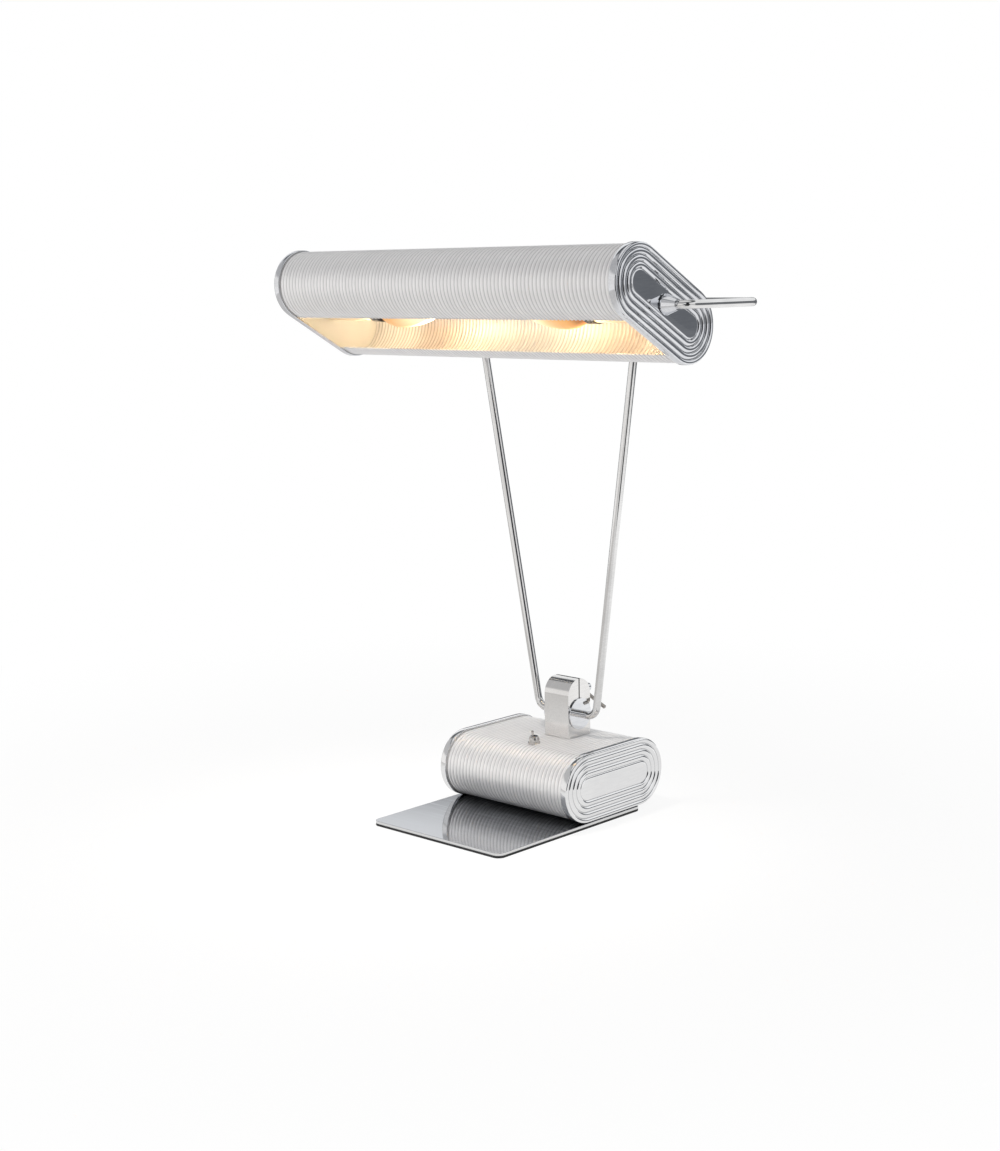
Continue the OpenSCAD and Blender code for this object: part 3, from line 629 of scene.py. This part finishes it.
PLATE = steel_mirror("plate_mirror", (0.6, 0.61, 0.635), (0.27, 0.28, 0.3))
BLOCK = chrome("block_polish", (0.88, 0.87, 0.86), (0.8, 0.79, 0.78), 0.09, 0.05)
NICKEL = chrome("switch_nickel", (0.7, 0.675, 0.65), (0.56, 0.54, 0.52), 0.06, 0.05)
CLAMP_STEEL = chrome("clamp_steel", (0.5, 0.475, 0.45), (0.4, 0.38, 0.36), 0.1, 0.05)
INNER = satin_metal("inner_steel", (0.46, 0.47, 0.49), (0.34, 0.35, 0.37), 0.4)
PAD = plastic("pad_rubber", (0.022, 0.022, 0.024), (0.012, 0.012, 0.013), 0.65)
DARK = plastic("dark_fibre", (0.035, 0.033, 0.032), (0.02, 0.02, 0.02), 0.6)
RING = plastic("ring_black", (0.014, 0.014, 0.015), (0.008, 0.008, 0.009), 0.22, 400.0, 0.3)
GLAND = plastic("gland_plastic", (0.028, 0.028, 0.03), (0.016, 0.016, 0.018), 0.5)
TERMINAL = plastic("terminal_plastic", (0.82, 0.8, 0.74), (0.7, 0.68, 0.62), 0.5)
SWITCH = plastic("switch_plastic", (0.03, 0.07, 0.22), (0.02, 0.05, 0.16), 0.45)
SLEEVE = plastic("holder_sleeve", (0.86, 0.7, 0.48), (0.78, 0.6, 0.38), 0.42)
PORCELAIN = plastic("holder_porcelain", (0.88, 0.86, 0.8), (0.8, 0.77, 0.7), 0.2, 300.0, 0.4)
BRASS = brass("brass")
print("finishes made")

# %% [markdown]
# The bulbs are lit. Their warm glass gives off light of its own: brown-amber at the neck, cream
# towards the tip. A real bulb is seen against a bright room and keeps its colour, so the half
# towards the slot glows softly, and the half that faces into the shade, which lights the ribs,
# glows strongest. The bulbs point at each other from the two ends, so the distance from the lamp's
# middle tells the neck from the tip.

# %% Lit glass
AXIS_Y, AXIS_Z = shade_centre.y, shade_centre.z


def lit_glass(name):
    made, tree, shader, place = new_material(name)
    x, y, z = axes(place)
    cloud = noise(place, 60.0, 2.0)
    neck = x.abs().ramp(0.09, 0.1)
    warm = (x.abs() + cloud * 0.006).ramp(0.094, 0.06).mix((0.95, 0.5, 0.17), (1.0, 0.78, 0.47))
    tone = neck.mix(warm, (0.5, 0.18, 0.05))
    rear = y.ramp(AXIS_Y - 0.006, AXIS_Y + 0.002, 0.09, 1.0)
    tip = x.abs().ramp(0.085, 0.04, 0.15, 1.0)
    glow = (rear * tip).mix((0.0, 0.0, 0.0), (1.0, 1.0, 1.0))
    lit = tone.node("ShaderNodeMix", {"data_type": "RGBA", "blend_type": "MULTIPLY"},
                    {0: 1.0, 6: tone, 7: glow}, 2)
    feed(shader, Base_Color=tone, Roughness=0.25 + cloud * 0.1, Emission_Color=lit,
         Emission_Strength=10.0)
    return made


LIT = lit_glass("bulb_lit_glass")
print("made", LIT.name)

# %% [markdown]
# The plate stands on a rubber pad of nearly its own thickness, which shows as a black line below
# it. A plate is sheared from sheet and its upper edge is broken by polishing, and that small
# radius catches a line of light. So both are slabs drawn by one function: rings of one rounded
# rectangle, each ring at its height and drawn in by the radius, closed by two flat faces.

# %% Plate and pad
PLATE_HALF_X, PLATE_HALF_Y, PLATE_CORNER = 66 * MM, 81 * MM, 6 * MM
PAD_TOP = 1.8 * MM
PAD_EDGE, PLATE_EDGE = 0.1 * MM, 0.3 * MM
CORNER_STEPS, EDGE_STEPS = 12, 4


def slab(name, low, high, edge, material, node):
    """A plate with round corners and a rolled upper edge, which takes a node's place."""
    rings = [(0.0, low)]
    for step in range(EDGE_STEPS + 1):
        turn = math.pi / 2 * step / EDGE_STEPS
        rings.append((edge * (1 - math.cos(turn)), high - edge * (1 - math.sin(turn))))
    around = [(corner, math.pi / 2 * (corner + step / CORNER_STEPS))
              for corner in range(4) for step in range(CORNER_STEPS + 1)]
    verts = []
    for inset, height in rings:
        for corner, turn in around:
            side_x, side_y = (1 if corner in (0, 3) else -1), (1 if corner < 2 else -1)
            verts.append((side_x * (PLATE_HALF_X - PLATE_CORNER)
                          + (PLATE_CORNER - inset) * math.cos(turn),
                          side_y * (PLATE_HALF_Y - PLATE_CORNER)
                          + (PLATE_CORNER - inset) * math.sin(turn), height))
    count = len(around)
    faces = []
    for ring in range(len(rings) - 1):
        for i in range(count):
            a, b = ring * count + i, ring * count + (i + 1) % count
            faces.append((a, b, b + count, a + count))
    faces.append(tuple(reversed(range(count))))
    faces.append(tuple(range(len(verts) - count, len(verts))))
    mesh = bpy.data.meshes.new(name)
    mesh.from_pydata(verts, [], faces)
    mesh.polygons.foreach_set("use_smooth", [len(face) == 4 for face in faces])
    mesh.materials.append(material)
    made = plain_object(name, mesh)
    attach(made, "base")
    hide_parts(node)
    report(made)


slab("pad_slab", 0.0, PAD_TOP, PAD_EDGE, PAD, "plate_pad")
slab("plate_slab", PAD_TOP, PLATE_TOP, PLATE_EDGE, PLATE, "base_plate")
print("plate and pad ready")

# %% [markdown]
# Each finish lists the pieces that wear it. Whatever isn't listed is chromed, and a piece that has
# been rebuilt above is hidden and keeps nothing.

# %% Who wears which finish
WEARERS = (
    (BLOCK, "knuckle_block", "knuckle_barrel"),
    (TUBE, "frame_tube_left", "frame_tube_right"),
    (NICKEL, "switch_nut", "switch_lever", "switch_washers"),
    (CLAMP_STEEL, "clamp_bar"),
    (INNER, "plate_screws", "base_ballast", "top_stiffener", "knuckle_screws",
     "wave_washer_left", "wave_washer_right"),
    (BRASS, "terminal_screws", "pivot_nipple_left", "pivot_nipple_right", "nipple_nut_left",
     "nipple_nut_right", "bulb_cap_left", "bulb_cap_right"),
    (DARK, "plate_spacers", "pivot_washer_left", "pivot_washer_right"),
    (TERMINAL, "terminal_block"),
    (SWITCH, "switch_body"),
    (GLAND, "cord_gland", "gland_nut"),
    (SLEEVE, "lampholder_left", "lampholder_right"),
    (PORCELAIN, "holder_insert_left", "holder_insert_right"),
    (RING, "holder_ring_left", "holder_ring_right"),
    (LIT, "bulb_glass_left", "bulb_glass_right"))
finish_of = {name: finish for finish, *names in WEARERS for name in names}
shown = {name: node for name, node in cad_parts.items() if not node.hide_render}
for name, node in shown.items():
    node.data.materials.clear()
    node.data.materials.append(finish_of.get(name, CHROME))
print("finished nodes", len(shown), "chromed", sorted(set(shown) - set(finish_of)))

# %% [markdown]
# The room is a plain pale studio. To the camera the world is white. Bright metal shows what stands
# round it, so a reflection sees a fuller room: slate walls with a band of windows, a dark cove
# above them and a pale ceiling, a white wall at the front left, a pale one at the right, and a
# black gap between the two. Those contrasts draw the dark lines on the tubes and on the beads. The
# room is written as masks of a direction: its height, and its bearing round the lamp.

# %% The room that reflections see
WHITE, BLACK = (1.0, 1.0, 1.0), (0.02, 0.02, 0.02)
SLATE = (0.155, 0.163, 0.176)


def between(value, low, high, soft=0.06):
    """1 inside a range, falling off softly at both ends."""
    return value.ramp(low - soft, low + soft) * value.ramp(high + soft, high - soft)


def sector(bearing, start, end):
    """1 between two bearings in degrees: 0 is to the right, and they grow towards the rear."""
    return between(bearing, math.radians(start), math.radians(end))


def seen_by(tree):
    """Masks of the rays that come from the camera and from a glossy surface."""
    ray = tree.nodes.new("ShaderNodeLightPath")
    return [Value(tree, ray.outputs[name]) for name in ("Is Camera Ray", "Is Glossy Ray")]


world = bpy.data.worlds.new("studio")
bpy.context.scene.world = world
world.use_nodes = True
sky = world.node_tree
backdrop = sky.nodes["Background"]
camera_ray, glossy_ray = seen_by(sky)
toward = Value(sky, sky.nodes.new("ShaderNodeTexCoord").outputs["Generated"])
east, north, high = axes(toward)
bearing = toward.math("ARCTAN2", north, east)
left_side = sector(bearing, -178, -58)
room = (high.ramp(0.258, 0.284) * high.ramp(0.68, 0.6)).mix(SLATE, (0.92, 0.93, 0.94))
for part, colour in (
        (between(high, 0.66, 0.76, 0.03), (0.09, 0.095, 0.1)),                      # dark cove
        (sector(bearing, -8, 36) * high.ramp(0.4, 0.3), (0.85, 0.85, 0.86)),        # right wall
        (sector(bearing, -40, -14) * high.ramp(0.8, 0.6), (0.02, 0.02, 0.022)),     # front right
        (left_side * high.ramp(0.84, 0.76), (0.5, 0.5, 0.505)),                     # upper left
        (left_side * high.ramp(0.42, 0.26), (0.88, 0.87, 0.86)),                    # front left
        (high.ramp(0.83, 0.9), (0.8, 0.8, 0.8))):                                   # ceiling
    room = part.mix(room, colour)
plain = glossy_ray.mix((0.62, 0.62, 0.62), room)
sky.links.new(camera_ray.mix(plain, WHITE).socket, backdrop.inputs["Color"])
backdrop.inputs["Strength"].default_value = 1.0
print("world nodes", len(sky.nodes))

# %% [markdown]
# The floor is one big sheet in three roles. Near the lamp it is matt white paint, which takes the
# lamp's shadow. Further out it glows white to the camera, so that it joins the backdrop without a
# line. To a reflection it is a table that grows paler to the right, with a slate floor beyond its
# edge, bright on the side of the white wall and black in the gap at the front right.

# %% Floor
FLOOR_HALF = 6
floor_mesh = bpy.data.meshes.new("floor")
floor_mesh.from_pydata([(x * FLOOR_HALF, y * FLOOR_HALF, 0)
                        for x, y in ((-1, -1), (1, -1), (1, 1), (-1, 1))], [], [(0, 1, 2, 3)])
floor = plain_object("floor", floor_mesh)
floor_paint, tree, matt, spot = new_material("floor_paint")
feed(matt, Base_Color=(0.98, 0.98, 0.98), Roughness=0.9, Specular_IOR_Level=0.0)
camera_ray, glossy_ray = seen_by(tree)
east, north, high = axes(spot)
bearing = spot.math("ARCTAN2", north, east)
reach = (east * east + north * north) ** 0.5       # distance from the lamp
across = (east + north) * math.sqrt(0.5)           # distance to the camera's right
table = across.ramp(-0.4, -0.1).mix((0.62, 0.61, 0.6), (0.8, 0.8, 0.8))
table = across.ramp(0.22, 0.45).mix(table, (0.98, 0.98, 0.98))
beyond = sector(bearing, -10, 36).mix(SLATE, (0.5, 0.5, 0.505))
beyond = (sector(bearing, -178, -62) * reach.ramp(1.05, 1.2)).mix(beyond, (0.95, 0.94, 0.93))
mirrored = reach.ramp(1.2, 1.5).mix(table, beyond)
mirrored = (sector(bearing, -42, -12) * reach.ramp(0.6, 0.75)).mix(mirrored, BLACK)
glow = tree.nodes.new("ShaderNodeEmission")
tree.links.new(glossy_ray.mix(WHITE, mirrored).socket, glow.inputs["Color"])
glow_share = (camera_ray * reach.ramp(0.2, 0.8, 0.86, 1.0)).most(glossy_ray * 0.95)
blend = tree.nodes.new("ShaderNodeMixShader")
tree.links.new(glow_share.socket, blend.inputs[0])
tree.links.new(matt.outputs[0], blend.inputs[1])
tree.links.new(glow.outputs[0], blend.inputs[2])
tree.links.new(blend.outputs[0], tree.nodes["Material Output"].inputs["Surface"])
floor_mesh.materials.append(floor_paint)
print("floor nodes", len(tree.nodes))

# %% [markdown]
# Two large soft lamps give the sheet its gradient: a key from behind and above, and a low fill
# from the front left. The bulbs need help, because their glass is a closed shell and a lamp inside
# it would light nothing. A disc of warm light round each lampholder stands for what the bulb
# throws past its neck onto the end cap, and one spot at the slot for what falls on the table.
# Those three ride with the frame, as the bulbs do. Neither the camera nor any reflection sees a
# lamp.

# %% Lamps
NECK_X, NECK_SIZE = 0.107, 0.044
NECK_COLOUR, SLOT_COLOUR = (1.0, 0.79, 0.5), (1.0, 0.94, 0.89)


def lamp(name, kind, place, turn, watts, **settings):
    light = bpy.data.lights.new(name, kind)
    light.energy = watts
    for key, value in settings.items():
        setattr(light, key, value)
    made = bpy.data.objects.new(name, light)
    made.location = place
    made.rotation_euler = turn
    made.visible_camera = False
    made.visible_glossy = False
    bpy.context.scene.collection.objects.link(made)
    return made


def softbox(name, place, aim, width, height, watts):
    turn = (Vector(aim) - Vector(place)).to_track_quat("-Z", "Y").to_euler()
    return lamp(name, "AREA", place, turn, watts, shape="RECTANGLE", size=width, size_y=height)


softbox("key", (1.0, 0.9, 1.6), (0, 0, 0.2), 1.4, 1.4, 5)
softbox("fill", (-0.9, -1.3, 0.55), (0, 0, 0.22), 1.4, 1.0, 10)
for name, side in (("neck_light_left", -1), ("neck_light_right", 1)):
    made = lamp(name, "AREA", (side * NECK_X, AXIS_Y, AXIS_Z), (0, -side * math.pi / 2, 0), 0.18,
                color=NECK_COLOUR, shape="DISK", size=NECK_SIZE)
    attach(made, "frame")
made = lamp("slot_light", "SPOT", (0, AXIS_Y - 0.02, AXIS_Z - 0.034), (math.radians(-8), 0, 0),
            2.6, color=SLOT_COLOUR, spot_size=math.radians(100), spot_blend=0.8,
            shadow_soft_size=0.02)
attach(made, "frame")
bpy.context.scene.view_settings.view_transform = "Standard"
